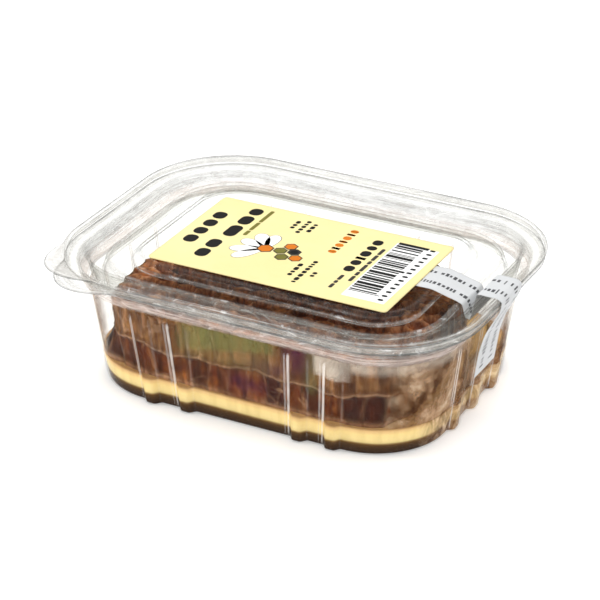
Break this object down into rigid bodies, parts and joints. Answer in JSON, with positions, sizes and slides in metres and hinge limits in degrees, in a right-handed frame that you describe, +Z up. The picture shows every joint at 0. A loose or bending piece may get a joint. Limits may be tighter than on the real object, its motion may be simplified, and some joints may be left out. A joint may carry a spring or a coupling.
{
  "type": "honeycomb piece in a clear lidded tub",
  "caption": "Cut piece of natural honeycomb lying in its own honey inside a low, clear, snap-lid plastic tub with a paper label and seal strip.",
  "frame": {"origin": "centre of the tub's flat base, on the surface that the pack stands on", "axes": "+Z up through the lid, +X along the tub's long side away from the opening tabs, -Y towards the long side below which the tabs stand"},
  "size_m": [0.1157, 0.0902, 0.0366],
  "materials": {
    "tub_plastic": "clear thermoformed sheet, glossy",
    "lid_plastic": "clear thermoformed sheet, glossy",
    "label_paper": "coated paper, satin",
    "strip_paper": "coated paper, satin",
    "comb_wax": "dark beeswax wetted with honey",
    "honey": "clear golden liquid"
  },
  "bodies": {
    "root": {"tub": "tub_plastic", "lid": "lid_plastic", "label": "label_paper", "seal_strip": "strip_paper", "comb": "comb_wax", "honey": "honey"}
  },
  "joints": []
}
